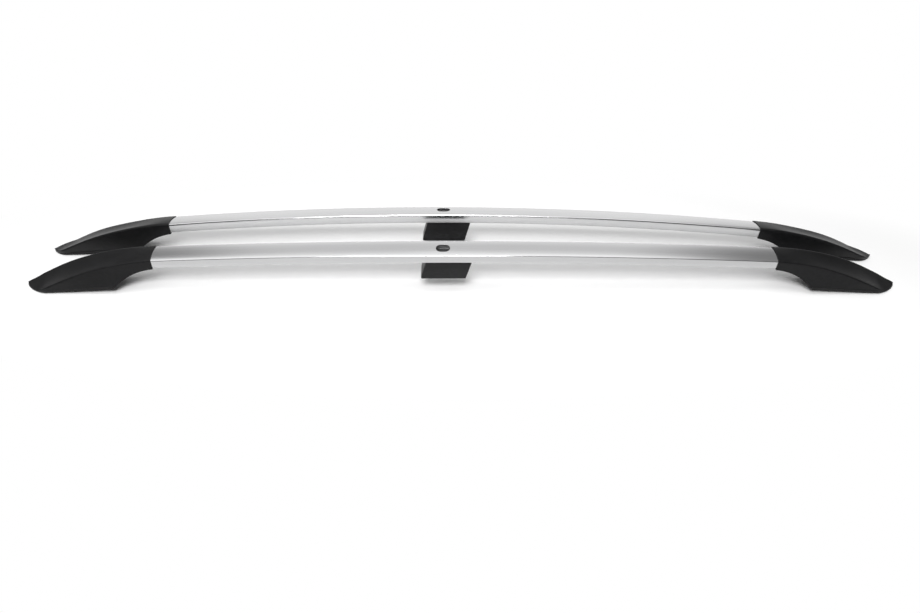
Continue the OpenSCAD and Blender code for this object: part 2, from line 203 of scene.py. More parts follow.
@dataclass(frozen=True)
class Arc:
    """The arc and the section of a bar, in metres and degrees, in its own rail's frame."""

    half_span: float = 0.661
    rise: float = 0.0237
    bow: float = 0.0127
    height: float = 0.0946
    offset: float = 0.00475
    width: float = 0.0465
    outer_side: float = 0.019
    inner_side: float = 0.0215
    top_slope: float = 9.2

    @property
    def sag(self) -> float:
        """Sag of the whole arc, square to its chord."""
        return math.hypot(self.rise, self.bow)

    @property
    def tilt(self) -> float:
        """Tilt of the arc's plane from upright."""
        return math.atan2(self.bow, self.rise)

    @property
    def radius(self) -> float:
        """Radius of the arc."""
        return (self.half_span**2 + self.sag**2) / (2 * self.sag)

    @property
    def half_side(self) -> float:
        """Height of the bar's middle over its underside."""
        return (self.outer_side + self.inner_side) / 4

    @property
    def under_slope(self) -> float:
        """Slope of the bar's underside across the rail."""
        drop = self.width * math.tan(math.radians(self.top_slope))
        return math.atan((drop - self.inner_side + self.outer_side) / self.width)

    def under_bar(self, x: float) -> Matrix:
        """Frame on the bar's underside, with Z pointing up into the bar.

        Args:
            x: Place along the rail.

        Returns:
            The frame's matrix.
        """
        run = math.sqrt(self.radius**2 - x**2)
        sag = self.radius - run
        y = sag * math.sin(self.tilt) - self.offset
        z = self.height - sag * math.cos(self.tilt) - self.half_side
        climb = math.atan(-x / run * math.cos(self.tilt - self.under_slope))
        lean = Matrix.Rotation(self.under_slope, 4, "X")
        return Matrix.Translation((x, y, z)) @ lean @ Matrix.Rotation(-climb, 4, "Y")


LAYOUT = Layout()
ARC = Arc()


class Field:
    """A shader socket that is used in Python expressions, each operator adding a node."""

    def __init__(self, graph: Graph, socket: bpy.types.NodeSocket) -> None:
        """Wraps an output socket of one of a graph's nodes."""
        self.graph = graph
        self.socket = socket

    @property
    def is_value(self) -> bool:
        """Whether the socket carries a single number."""
        return self.socket.type == "VALUE"

    def out(self, name: int | str) -> Field:
        """Another output of the same node."""
        return Field(self.graph, self.socket.node.outputs[name])

    def _apply(self, operation: str, *terms: Any) -> Field:
        """Adds a Math node, or a Vector Math node where a term is a vector.

        Args:
            operation: The node's operation.
            terms: The node's inputs in order, as fields, numbers or vectors.

        Returns:
            The node's result.
        """
        vector = any(isinstance(term, Field) and not term.is_value for term in terms)
        if vector and operation == "MULTIPLY" and isinstance(terms[1], (int, float)):
            inputs = {0: terms[0], "Scale": terms[1]}
            return self.graph.add("ShaderNodeVectorMath", {"operation": "SCALE"}, inputs)
        kind = "ShaderNodeVectorMath" if vector else "ShaderNodeMath"
        return self.graph.add(kind, {"operation": operation}, dict(enumerate(terms)))

    def __add__(self, other: Any) -> Field:
        """Sum."""
        return self._apply("ADD", self, other)

    def __sub__(self, other: Any) -> Field:
        """Difference."""
        return self._apply("SUBTRACT", self, other)

    def __rsub__(self, other: Any) -> Field:
        """Difference with the field on the right."""
        return self._apply("SUBTRACT", other, self)

    def __mul__(self, other: Any) -> Field:
        """Product."""
        return self._apply("MULTIPLY", self, other)

    def __pow__(self, other: Any) -> Field:
        """Power."""
        return self._apply("POWER", self, other)

    def __rpow__(self, other: Any) -> Field:
        """Power with the field as the exponent."""
        return self._apply("POWER", other, self)

    def __abs__(self) -> Field:
        """The value without its sign."""
        return self._apply("ABSOLUTE", self)

    __radd__ = __add__
    __rmul__ = __mul__

    def above(self, other: Any) -> Field:
        """The greater of two values."""
        return self._apply("MAXIMUM", self, other)

    def between(self, low: float, high: float) -> Field:
        """Smooth step from 0 at low to 1 at high.

        Args:
            low: Value at which the step starts.
            high: Value at which it is complete.

        Returns:
            The stepped value.
        """
        return self.graph.add(
            "ShaderNodeMapRange",
            {"interpolation_type": "SMOOTHSTEP"},
            {"Value": self, "From Min": low, "From Max": high},
        )

    def within(self, rise: float, full: float, fall: float, end: float) -> Field:
        """Smooth window that is 1 from full to fall and 0 before rise and after end.

        Args:
            rise: Value at which the window starts to open.
            full: Value at which it is open.
            fall: Value at which it starts to close.
            end: Value at which it is closed.

        Returns:
            The window's value.
        """
        return self.between(rise, full) * (1.0 - self.between(fall, end))


def blended(parts: Sequence[tuple[Field, float]]) -> Field:
    """Weighted sum of fields.

    Args:
        parts: Each field with its weight.

    Returns:
        The sum.
    """
    first, *others = [value * weight for value, weight in parts]
    return sum(others, first)


class Graph:
    """The node tree of one material or world."""

    def __init__(self, owner: bpy.types.Material | bpy.types.World) -> None:
        """Gives a material or world an empty node tree.

        Args:
            owner: The material or world.
        """
        owner.use_nodes = True
        self.tree = owner.node_tree
        self.tree.nodes.clear()

    def add(
        self,
        kind: str,
        settings: dict[str, Any] | None = None,
        inputs: dict[Any, Any] | None = None,
        output: int | str = 0,
    ) -> Field:
        """Adds a node, sets it, then fills its sockets.

        Args:
            kind: The node's type.
            settings: Values of the node's own settings; "stops" fills a colour ramp.
            inputs: Values or fields by the name or index of the socket.
            output: Name or index of the socket to return.

        Returns:
            The chosen output.
        """
        node = self.tree.nodes.new(kind)
        for name, value in (settings or {}).items():
            if name == "stops":
                self._fill_ramp(node, value)
            else:
                setattr(node, name, value)
        for key, value in (inputs or {}).items():
            socket = node.inputs[key]
            if isinstance(value, Field):
                self.tree.links.new(value.socket, socket)
            elif isinstance(value, tuple) and socket.type == "RGBA" and len(value) == 3:
                socket.default_value = (*value, 1.0)
            else:
                socket.default_value = value
        return Field(self, node.outputs[output] if node.outputs else node.inputs[0])

    @staticmethod
    def _fill_ramp(node: bpy.types.Node, stops: Stops) -> None:
        """Sets the stops of a grey ramp.

        Args:
            node: A Color Ramp node.
            stops: Position and grey level of each stop.
        """
        ramp = node.color_ramp
        while len(ramp.elements) < len(stops):
            ramp.elements.new(0.5)
        for element, (place, level) in zip(ramp.elements, stops):
            element.position = place
            element.color = (*grey(level), 1.0)

    def place(self) -> Field:
        """Object coordinates, in metres."""
        return self.add("ShaderNodeTexCoord", output="Object")

    def rays(self, kind: str) -> Field:
        """1 for one kind of ray, otherwise 0."""
        return self.add("ShaderNodeLightPath", output=kind)

    def seen(self) -> Field:
        """1 for rays from the camera and for mirrored and refracted ones, otherwise 0."""
        camera = self.rays("Is Camera Ray")
        return camera.above(camera.out("Is Glossy Ray")).above(camera.out("Is Transmission Ray"))

    def axes(self, where: Field) -> tuple[Field, Field, Field]:
        """Splits a vector into its three parts."""
        first = self.add("ShaderNodeSeparateXYZ", inputs={0: where})
        return first, first.out(1), first.out(2)

    def joined(self, x: Field, y: Field, z: Field) -> Field:
        """Puts three values together as a vector."""
        return self.add("ShaderNodeCombineXYZ", inputs={0: x, 1: y, 2: z})

    def noise(self, where: Field, layer: Layer) -> Field:
        """Noise between 0 and 1.

        Args:
            where: Coordinates.
            layer: The noise's cells.

        Returns:
            The noise value.
        """
        cells = {"Scale": layer.scale, "Detail": layer.detail, "Roughness": layer.falloff}
        return self.add(
            "ShaderNodeTexNoise",
            {"noise_dimensions": "3D"},
            {"Vector": where * layer.stretch, **cells},
        )

    def tint(self, factor: Field | float, low: Colour | Field, high: Colour | Field) -> Field:
        """Mixes two colours, by a factor that is 0 for the first and 1 for the second."""
        return self.add("ShaderNodeMix", {"data_type": "RGBA"}, {0: factor, 6: low, 7: high}, 2)

    def mixed(self, factor: Field, low: Field, high: Field) -> Field:
        """Mixes two shaders, by a factor that is 0 for the first and 1 for the second."""
        return self.add("ShaderNodeMixShader", inputs={0: factor, 1: low, 2: high})

    def ramp(self, factor: Field, stops: Stops) -> Field:
        """Grey ramp over a value, as a colour."""
        return self.add("ShaderNodeValToRGB", {"stops": stops}, {0: factor})

    def bump(self, height: Field, strength: float, depth: float) -> Field:
        """Turns a height into a normal.

        Args:
            height: Height between 0 and 1.
            strength: Share of the effect.
            depth: Height of a full step, in metres.

        Returns:
            The bent normal.
        """
        inputs = {"Height": height, "Strength": strength, "Distance": depth}
        return self.add("ShaderNodeBump", inputs=inputs)


@dataclass(frozen=True)
class Layer:
    """A layer of noise: its cells per metre, and its weight in a finish's tone and roughness."""

    scale: float
    detail: float = 2.0
    falloff: float = 0.5
    stretch: Point = (1.0, 1.0, 1.0)
    tone: float = 0.0
    rough: float = 0.0


@dataclass(frozen=True)
class Finish:
    """A surface finish, built as a Principled material.

    Its roughness is the mean one, its shades are the factors of its darkest and lightest
    colour, and its relief is the share and the depth of its bumps.
    """

    title: str
    colour: Colour
    roughness: float
    metallic: float = 0.0
    gloss: float = 0.5
    shades: tuple[float, float] = (1.0, 1.0)
    tone_step: Step = (0.3, 0.7)
    relief: tuple[float, float] = (0.0, 0.0)

    def build(self) -> bpy.types.Material:
        """Makes the material.

        Returns:
            The finished material.
        """
        material = bpy.data.materials.new(self.title)
        graph = Graph(material)
        plain = {"Metallic": self.metallic, "Specular IOR Level": self.gloss}
        inputs = {**plain, **self.surface(graph)}
        shader = graph.add("ShaderNodeBsdfPrincipled", inputs=inputs)
        graph.add("ShaderNodeOutputMaterial", inputs={"Surface": shader})
        return material

    def surface(self, graph: Graph) -> dict[str, Field]:
        """Works out what changes over the surface.

        Args:
            graph: The material's graph.

        Returns:
            A field for each socket of the shader that it feeds, by the socket's name.
        """
        raise NotImplementedError

    def swayed(self, graph: Graph, noises: Sequence[tuple[Layer, Field]]) -> tuple[Field, Field]:
        """Works out the colour and the roughness that layers of noise give.

        Args:
            graph: The material's graph.
            noises: Each layer with its value.

        Returns:
            The colour and the roughness.
        """
        tone = blended([(value, layer.tone) for layer, value in noises if layer.tone])
        rough = blended([(value, layer.rough) for layer, value in noises if layer.rough])
        mean = sum(layer.rough for layer, _ in noises) / 2
        low, high = (shaded(self.colour, factor) for factor in self.shades)
        colour = graph.tint(tone.between(*self.tone_step), low, high)
        return colour, rough + (self.roughness - mean)


@dataclass(frozen=True)
class SatinAluminium(Finish):
    """Anodised extrusion with fine drawn lines that follow the bar's arc."""

    shades: tuple[float, float] = (0.97, 1.03)
    relief: tuple[float, float] = (0.05, 0.00001)
    lines: Layer = Layer(2600.0, 3.0, 0.65, (0.004, 1.0, 1.0), tone=0.4, rough=0.06)
    wide_lines: Layer = Layer(312.0, stretch=(0.004, 1.0, 1.0), tone=0.3, rough=0.04)
    drift: Layer = Layer(5.0, stretch=(1.0, 6.0, 6.0), tone=0.3)
    haze: Layer = Layer(90.0, 3.0, rough=0.01)
    # Darker colour of the walls inside the bar, seen through the oval holes: painted shade of the
    # hollow.
    bare: Colour = (0.3, 0.3, 0.303)
    bare_dulling: float = 0.3
    side_depth: Step = (0.0018, 0.0012)
    inner_height: Window = (0.001, 0.0016, 0.0165, 0.0172)

    def along_bar(self, graph: Graph) -> Field:
        """Coordinates of the straightened bar.

        Args:
            graph: The material's graph.

        Returns:
            Place along the bar, across it towards the other rail, and height over its middle.
        """
        x, y, z = graph.axes(graph.place())
        sag = x * x * (0.5 / ARC.radius)
        side = abs(y) + x * math.tan(math.radians(LAYOUT.splay)) + sag * math.sin(ARC.tilt)
        across = LAYOUT.spacing / 2 + ARC.offset - side
        return graph.joined(x, across, z + sag * math.cos(ARC.tilt) - ARC.height)

    def hollow(self, graph: Graph, where: Field) -> Field:
        """Mask of the walls inside the bar, which get a darker colour as painted shade and a rougher
        finish.

        Args:
            graph: The material's graph.
            where: The straightened bar's coordinates.

        Returns:
            1 inside the bar, 0 outside it.
        """
        _, across, height = graph.axes(where)
        over_base = height - across * math.tan(ARC.under_slope) + ARC.half_side
        inner, outer = (ARC.width / 2 - depth for depth in self.side_depth)
        return (1.0 - abs(across).between(inner, outer)) * over_base.within(*self.inner_height)

    def surface(self, graph: Graph) -> dict[str, Field]:
        """Drawn lines, a slow drift of tone, a faint haze, and painted shade on the walls inside the
        bar.

        Args:
            graph: The material's graph.

        Returns:
            The fields by socket.
        """
        where = self.along_bar(graph)
        layers = (self.lines, self.wide_lines, self.drift, self.haze)
        noises = [(layer, graph.noise(where, layer)) for layer in layers]
        colour, rough = self.swayed(graph, noises)
        inside = self.hollow(graph, where)
        return {
            # Inside the bar the colour turns darker: painted shade.
            "Base Color": graph.tint(inside, colour, self.bare),
            "Roughness": rough + inside * self.bare_dulling,
            "Normal": graph.bump(noises[0][1], *self.relief),
        }


@dataclass(frozen=True)
class GrainedPlastic(Finish):
    """Black moulded plastic with a fine even grain and scuffed lower edges."""

    shades: tuple[float, float] = (0.55, 1.6)
    relief: tuple[float, float] = (0.45, 0.00005)
    grain: Layer = Layer(1500.0, tone=0.2, rough=0.06)
    grain_softness: float = 0.6
    fine: Layer = Layer(3300.0, 3.0, 0.6)
    fine_share: float = 0.3
    flow: Layer = Layer(24.0, 3.0, stretch=(0.35, 1.0, 1.0), tone=0.4, rough=0.1)
    mottle: Layer = Layer(190.0, 3.0, 0.6, (0.6, 1.0, 1.0), tone=0.4, rough=0.2)
    rub: Layer = Layer(420.0, 3.0, 0.6, (0.25, 1.0, 1.0), rough=0.1)
    rub_step: Step = (0.45, 0.75)
    rub_height: Step = (0.0006, 0.0026)
    rub_shade: float = 2.6

    def grained(self, graph: Graph, where: Field) -> Field:
        """Height of the mould's grain.

        Args:
            graph: The material's graph.
            where: Object coordinates.

        Returns:
            The height, between 0 and 1.
        """
        cells = graph.add(
            "ShaderNodeTexVoronoi",
            {"feature": "SMOOTH_F1"},
            {"Vector": where, "Scale": self.grain.scale, "Smoothness": self.grain_softness},
        )
        fine = graph.noise(where, self.fine)
        return blended([(cells, 1.0 - self.fine_share), (fine, self.fine_share)])

    def scuffed(self, graph: Graph, where: Field) -> Field:
        """Mask of the scuffs just over the base.

        Args:
            graph: The material's graph.
            where: Object coordinates.

        Returns:
            1 where the plastic is scuffed, 0 elsewhere.
        """
        x, _, z = graph.axes(where)
        climb = math.tan(math.radians(LAYOUT.base_pitch))
        over_base = z + (abs(x) - LAYOUT.half_length) * climb
        rub = graph.noise(where, self.rub).between(*self.rub_step)
        return (1.0 - over_base.between(*self.rub_height)) * rub

    def surface(self, graph: Graph) -> dict[str, Field]:
        """The mould's grain, flow marks and scuffs near the base.

        Args:
            graph: The material's graph.

        Returns:
            The fields by socket.
        """
        where = graph.place()
        grain = self.grained(graph, where)
        marks = [(layer, graph.noise(where, layer)) for layer in (self.flow, self.mottle)]
        colour, rough = self.swayed(graph, [*marks, (self.grain, grain)])
        scuffs = self.scuffed(graph, where)
        return {
            "Base Color": graph.tint(scuffs, colour, shaded(self.colour, self.rub_shade)),
            "Roughness": rough + scuffs * self.rub.rough,
            "Normal": graph.bump(grain, *self.relief),
        }


@dataclass(frozen=True)
class ZincSteel(Finish):
    """Bright zinc plating on turned steel."""

    shades: tuple[float, float] = (0.85, 1.0)
    relief: tuple[float, float] = (0.2, 0.00003)
    cloud: Layer = Layer(260.0, 3.0, tone=1.0, rough=0.1)
    marks: Layer = Layer(900.0, stretch=(1.0, 1.0, 14.0), rough=0.12)

    def surface(self, graph: Graph) -> dict[str, Field]:
        """The plating's cloudy tone and fine turning marks.

        Args:
            graph: The material's graph.

        Returns:
            The fields by socket.
        """
        where = graph.place()
        cloud, marks = graph.noise(where, self.cloud), graph.noise(where, self.marks)
        colour, rough = self.swayed(graph, [(self.cloud, cloud), (self.marks, marks)])
        normal = graph.bump(marks, *self.relief)
        return {"Base Color": colour, "Roughness": rough, "Normal": normal}


@dataclass
class Finishes:
    """The finishes of the pair, built once each."""

    aluminium: Finish = SatinAluminium("satin_aluminium", (0.575, 0.575, 0.58), 0.19, 1.0)
    plastic: Finish = GrainedPlastic("black_moulding", (0.006, 0.006, 0.0064), 0.4, gloss=0.2)
    steel: Finish = ZincSteel("zinc_plated_steel", (0.62, 0.63, 0.65), 0.33, 1.0)
    # Darker copy of the zinc steel for the sleeve down in the bar's hole: painted shade.
    painted_shade_steel: Finish = ZincSteel("painted_shade_steel_sleeve", (0.26, 0.26, 0.265), 0.51, 1.0)
    built: dict[str, bpy.types.Material] = field(default_factory=dict)

    def material(self, finish: Finish) -> bpy.types.Material:
        """Gives a finish's material, made at its first use.

        Args:
            finish: One of the finishes.

        Returns:
            Its material.
        """
        if finish.title not in self.built:
            self.built[finish.title] = finish.build()
        return self.built[finish.title]

    def put_on(self, piece: bpy.types.Object, finish: Finish) -> None:
        """Gives a piece one finish all over.

        Args:
            piece: The object.
            finish: Its finish.
        """
        material = self.material(finish)
        if not piece.material_slots:
            piece.data.materials.append(material)
        for slot in piece.material_slots:
            slot.material = material


@dataclass
class Workshop:
    """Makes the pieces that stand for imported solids, with sizes in metres and degrees."""

    finishes: Finishes
    merge: float = 0.000002
    flat_angle: float = 0.2
    sharp_angle: float = 30.0
    broken_angle: float = 40.0
    broken_segments: int = 2
    ring_angle: float = 38.0

    def smooth_copy(
        self, solid: bpy.types.Object, suffix: str, finish: Finish, slot: str, edge: float
    ) -> None:
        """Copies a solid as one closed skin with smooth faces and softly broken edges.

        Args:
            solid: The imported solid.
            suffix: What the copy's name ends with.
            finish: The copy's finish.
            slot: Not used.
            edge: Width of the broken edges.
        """
        mesh = solid.data.copy()
        mesh.name = f"{solid.name}_{suffix}"
        if "custom_normal" in mesh.attributes:
            mesh.attributes.remove(mesh.attributes["custom_normal"])
        skin = bmesh.new()
        skin.from_mesh(mesh)
        bmesh.ops.remove_doubles(skin, verts=skin.verts, dist=self.merge)
        flat = math.radians(self.flat_angle)
        bmesh.ops.dissolve_limit(skin, angle_limit=flat, verts=skin.verts, edges=skin.edges)
        self.smooth(skin, mesh, self.sharp_angle)
        piece = new_object(mesh.name, mesh)
        bevel = piece.modifiers.new("broken_edges", "BEVEL")
        bevel.width = edge
        bevel.segments = self.broken_segments
        bevel.limit_method = "ANGLE"
        bevel.angle_limit = math.radians(self.broken_angle)
        bevel.harden_normals = True
        self.hand_over(piece, solid.name, finish)

    def hand_over(self, piece: bpy.types.Object, node: str, finish: Finish) -> None:
        """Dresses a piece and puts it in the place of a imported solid.

        Args:
            piece: The new piece.
            node: The solid that it stands for.
            finish: Its finish.
        """
        self.finishes.put_on(piece, finish)
        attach(piece, "root")
        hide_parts(node)
        log.info("%s: %d faces", piece.name, len(piece.data.polygons))

    @staticmethod
    def smooth(skin: bmesh.types.BMesh, mesh: bpy.types.Mesh, angle: float) -> None:
        """Writes a skin to its mesh, smooth but for its sharp edges.

        Args:
            skin: The skin, which is freed.
            mesh: The mesh that takes it.
            angle: Angle in degrees from which an edge is sharp.
        """
        for face in skin.faces:
            face.smooth = True
        skin.to_mesh(mesh)
        skin.free()
        mesh.set_sharp_from_angle(angle=math.radians(angle))

    def ringed(
        self, name: str, rings: Sequence[Sequence[Vector]], frame: Matrix, looped: bool
    ) -> bpy.types.Object:
        """Joins rings of points into a closed skin.

        Args:
            name: The piece's name.
            rings: Rings with equal numbers of points.
            frame: Where the piece goes.
            looped: Whether the last ring joins the first, instead of both being closed by fans.

        Returns:
            The new piece.
        """
        count = len(rings[0])
        turns = [(j, (j + 1) % count) for j in range(count)]
        points = [frame @ point for ring in rings for point in ring]
        faces = []
        for i in range(len(rings) if looped else len(rings) - 1):
            low, high = i * count, (i + 1) % len(rings) * count
            faces += [(low + j, low + k, high + k, high + j) for j, k in turns]
        if not looped:
            for first, ring in ((0, rings[0]), ((len(rings) - 1) * count, rings[-1])):
                hub = len(points)
                points.append(frame @ (sum(ring, Vector()) / count))
                faces += [(first + j, first + k, hub) for j, k in turns]
        mesh = bpy.data.meshes.new(name)
        mesh.from_pydata([tuple(point) for point in points], [], faces)
        skin = bmesh.new()
        skin.from_mesh(mesh)
        bmesh.ops.recalc_face_normals(skin, faces=skin.faces)
        self.smooth(skin, mesh, self.ring_angle)
        return new_object(name, mesh)


def circle(sides: int, z: float, radius: float | Callable[[float], float]) -> list[Vector]:
    """Ring of points round the Z axis.

    Args:
        sides: Number of points.
        z: Height of the ring.
        radius: The radius, or what gives it at an angle, which is a share of a turn.

    Returns:
        The points.
    """
    points = []
    for share in (j / sides for j in range(sides)):
        reach = radius(share) if callable(radius) else radius
        angle = share * math.tau
        points.append(Vector((math.cos(angle) * reach, math.sin(angle) * reach, z)))
    return points


def hand_of(frame: Matrix) -> float:
    """1 where a frame keeps right and left, -1 where it swaps them."""
    return 1.0 if frame.to_3x3().determinant() > 0 else -1.0


@dataclass(frozen=True)
class TappedBush:
    """Steel bush with an M6 thread, in metres, in the frame of a foot's base."""

    length: float = 0.024
    outer: float = 0.006
    crest: float = 0.0025
    root: float = 0.00298
    pitch: float = 0.001
    groove_half: float = 0.42
    lead_in: float = 0.0007
    chamfer: float = 0.0004
    sides: int = 36
    steps_per_turn: int = 6

    def bore(self, turn: float, z: float, hand: float) -> float:
        """Radius of the threaded bore.

        Args:
            turn: Angle round the bore, as a share of a turn.
            z: Height from the lower face.
            hand: 1 in a frame that keeps right and left, otherwise -1.

        Returns:
            The radius.
        """
        phase = (z / self.pitch - hand * turn) % 1.0
        groove = 1.0 - abs(phase - 0.5) / self.groove_half
        mouth = 1.0 - min(z, self.length - z) / self.lead_in
        return self.crest + (self.root - self.crest) * max(0.0, groove, mouth)

    def build(self, shop: Workshop, node: str, frame: Matrix) -> None:
        """Makes the bush.

        Args:
            shop: The workshop.
            node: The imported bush.
            frame: The base's frame at the bush.
        """
        hand = hand_of(frame)
        narrow, top = self.outer - self.chamfer, self.length - self.chamfer
        outside = (
            (narrow, 0.0),
            (self.outer, self.chamfer),
            (self.outer, top),
            (narrow, self.length),
        )
        rings = [circle(self.sides, z, radius) for radius, z in outside]
        steps = round(self.length / self.pitch * self.steps_per_turn)
        for i in range(steps, -1, -1):
            z = self.length * i / steps
            rings.append(circle(self.sides, z, lambda turn, z=z: self.bore(turn, z, hand)))
        piece = shop.ringed(f"{node}_tapped", rings, frame, True)
        shop.hand_over(piece, node, shop.finishes.steel)


@dataclass(frozen=True)
class TappingScrew:
    """Pan-head tapping screw with a cross recess, in metres, in the frame of the bar's underside.

    The rings of its head are radii in millimetres.
    """

    shank: float = 0.012
    radius: float = 0.00199
    core: float = 0.00145
    pitch: float = 0.0014
    ridge_half: float = 0.26
    run_in: float = 0.0006
    point_length: float = 0.0035
    tip: float = 0.00012
    head: float = 0.00398
    head_height: float = 0.0026
    rim: float = 0.0008
    rim_edge: tuple[float, float] = (0.0003, 0.0004)
    dome_power: float = 2.8
    dome_rings: tuple[float, ...] = (
        0.15, 0.35, 0.6, 0.9, 1.2, 1.5, 1.75, 2.0, 2.4, 2.9, 3.4, 3.75, 3.98
    )
    recess: float = 0.0015
    arm: float = 0.0019
    arm_half: float = 0.00045
    arm_flank: float = 0.00022
    arm_end: float = 0.0006
    sides: int = 40
    steps_per_turn: int = 7

    def dome(self, radius: float) -> float:
        """Height of the head over its seat at a distance from the axis."""
        share = min(1.0, radius / self.head)
        return self.rim + (self.head_height - self.rim) * (1.0 - share**self.dome_power) ** 0.5

    def cross(self, x: float, y: float) -> float:
        """Depth of the cross recess at a point of the head.

        Args:
            x: Place along one arm.
            y: Place along the other.

        Returns:
            The depth.
        """
        deepest = 0.0
        for along, across in ((abs(x), abs(y)), (abs(y), abs(x))):
            side = clamped((self.arm_half - across) / self.arm_flank + 1.0)
            deepest = max(deepest, side * clamped((self.arm - along) / self.arm_end))
        return self.recess * deepest

    def thread(self, turn: float, z: float, hand: float) -> float:
        """Radius of the shank.

        Args:
            turn: Angle round the shank, as a share of a turn.
            z: Height over the head's seat.
            hand: 1 in a frame that keeps right and left, otherwise -1.

        Returns:
            The radius.
        """
        phase = (z / self.pitch - hand * turn) % 1.0
        ridge = max(0.0, 1.0 - abs(phase - 0.5) / self.ridge_half)
        point = min(1.0, (self.shank - z) / self.point_length)
        start = min(1.0, z / self.run_in)
        return max(self.tip, (self.core + (self.radius - self.core) * ridge * start) * point)

    def build(self, shop: Workshop, node: str, frame: Matrix) -> None:
        """Makes the screw.

        Args:
            shop: The workshop.
            node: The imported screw.
            frame: The frame of the head's seat, with Z along the shank.
        """
        hand = hand_of(frame)
        rings = [circle(self.sides, 0.0, radius * MM) for radius in self.dome_rings]
        for ring in rings:
            for point in ring:
                point.z = self.cross(point.x, point.y) - self.dome(point.length)
        inset, drop = self.rim_edge
        for radius, z in ((self.head, -drop), (self.head - inset, 0.0), (self.core, 0.0)):
            rings.append(circle(self.sides, z, radius))
        steps = round(self.shank / self.pitch * self.steps_per_turn)
        for i in range(1, steps + 1):
            z = self.shank * i / steps
            rings.append(circle(self.sides, z, lambda turn, z=z: self.thread(turn, z, hand)))
        piece = shop.ringed(f"{node}_threaded", rings, frame, False)
        shop.hand_over(piece, node, shop.finishes.steel)


@dataclass
class Rail:
    """One rail: bar, end feet, centre foot and their fastenings."""

    side: Side
    nodes: dict[str, bpy.types.Object]
    shop: Workshop
    bar_edge: float = 0.0003
    foot_edge: float = 0.0004
    steel_edge: float = 0.0002

    def node(self, name: str) -> bpy.types.Object:
        """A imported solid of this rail, by its name without the side."""
        return self.nodes[f"{self.side.label}_{name}"]

    def build(self) -> None:
        """Makes and dresses the rail's pieces."""
        self.dress("bar", "extrusion", self.shop.finishes.aluminium, "satin_aluminium", self.bar_edge)
        for name in ("front_foot", "rear_foot", "centre_foot"):
            self.dress(name, "moulding", self.shop.finishes.plastic, "black_plastic", self.foot_edge)
        # The sleeve gets the darker steel, which paints the shade of the hole.
        sleeve_shade_steel = self.shop.finishes.painted_shade_steel
        self.dress("centre_sleeve", "turned", sleeve_shade_steel, "zinc_steel", self.steel_edge)
        self.fit_bushes()
        self.fit_screws()

    def dress(self, name: str, suffix: str, finish: Finish, slot: str, edge: float) -> None:
        """Dresses one of the rail's solids."""
        self.shop.smooth_copy(self.node(name), suffix, finish, slot, edge)

    def fit_bushes(self) -> None:
        """Puts a tapped bush in each end foot."""
        for end in End:
            frame = LAYOUT.frame(self.side, end) @ LAYOUT.on_base()
            TappedBush().build(self.shop, f"{self.side.label}_{end.label}_bush", frame)

    def fit_screws(self) -> None:
        """Puts the tapping screws in the end feet's tongues and the centre foot."""
        gap = Matrix.Translation((0.0, 0.0, -LAYOUT.screw_clearance))
        sunk = Matrix.Translation((0.0, 0.0, -LAYOUT.screw_sink))
        for end in End:
            rail = LAYOUT.frame(self.side, end)
            for i, start in enumerate(LAYOUT.end_screws):
                frame = rail @ ARC.under_bar(start - LAYOUT.mouth) @ gap
                self.drive(f"{end.label}_screw_{i + 1}", frame)
        rail = LAYOUT.frame(self.side)
        for i, step in enumerate((-LAYOUT.centre_screws, LAYOUT.centre_screws)):
            frame = rail @ ARC.under_bar(LAYOUT.centre + step) @ gap @ sunk
            self.drive(f"centre_screw_{i + 1}", frame)

    def drive(self, name: str, frame: Matrix) -> None:
        """Puts a tapping screw in at a frame."""
        TappingScrew().build(self.shop, f"{self.side.label}_{name}", frame)


@dataclass(frozen=True)
class Floor:
    """The pale floor, which keeps the soft shadow round the rails and is plain white further out."""

    size: float = 14.0
    # Reflections and bounced light see the floor darker in front and paler from the front rail back:
    # painted light, brighter near the rails.
    painted_dim_front_grey: float = 0.8
    painted_lit_back_grey: float = 0.95
    to_back: Step = (-0.22, -0.08)
    oval: tuple[float, float] = (1.1, 0.34)
    to_white: Step = (0.88, 1.2)

    def cloth(self) -> bpy.types.Material:
        """Makes the floor's material.

        Returns:
            The material.
        """
        material = bpy.data.materials.new("pale_floor")
        graph = Graph(material)
        x, y, _ = graph.axes(graph.place())
        front, back, shown = (
            graph.add("ShaderNodeBsdfDiffuse", inputs={"Color": grey(level)})
            for level in (self.painted_dim_front_grey, self.painted_lit_back_grey, 1.0)
        )
        white = graph.add("ShaderNodeEmission", inputs={"Color": grey(1.0), "Strength": 1.0})
        length, depth = self.oval
        reach = ((x * (1.0 / length)) ** 2.0 + (y * (1.0 / depth)) ** 2.0) ** 0.5
        # Painted light: the floor's grey steps up from the front to the back of the front rail.
        painted_light_floor = graph.mixed(y.between(*self.to_back), front, back)
        near = graph.mixed(graph.rays("Is Camera Ray"), painted_light_floor, shown)
        laid = graph.mixed(reach.between(*self.to_white), near, white)
        shader = graph.mixed(graph.seen(), painted_light_floor, laid)
        graph.add("ShaderNodeOutputMaterial", inputs={"Surface": shader})
        return material

    def lay(self) -> None:
        """Lays the floor."""
        half = self.size / 2
        corners = [(-half, -half, 0.0), (half, -half, 0.0), (half, half, 0.0), (-half, half, 0.0)]
        mesh = bpy.data.meshes.new("floor")
        mesh.from_pydata(corners, [], [(0, 1, 2, 3)])
        mesh.materials.append(self.cloth())
        floor = new_object("floor", mesh)
        floor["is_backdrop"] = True
        log.info("floor: %.0f m square", self.size)


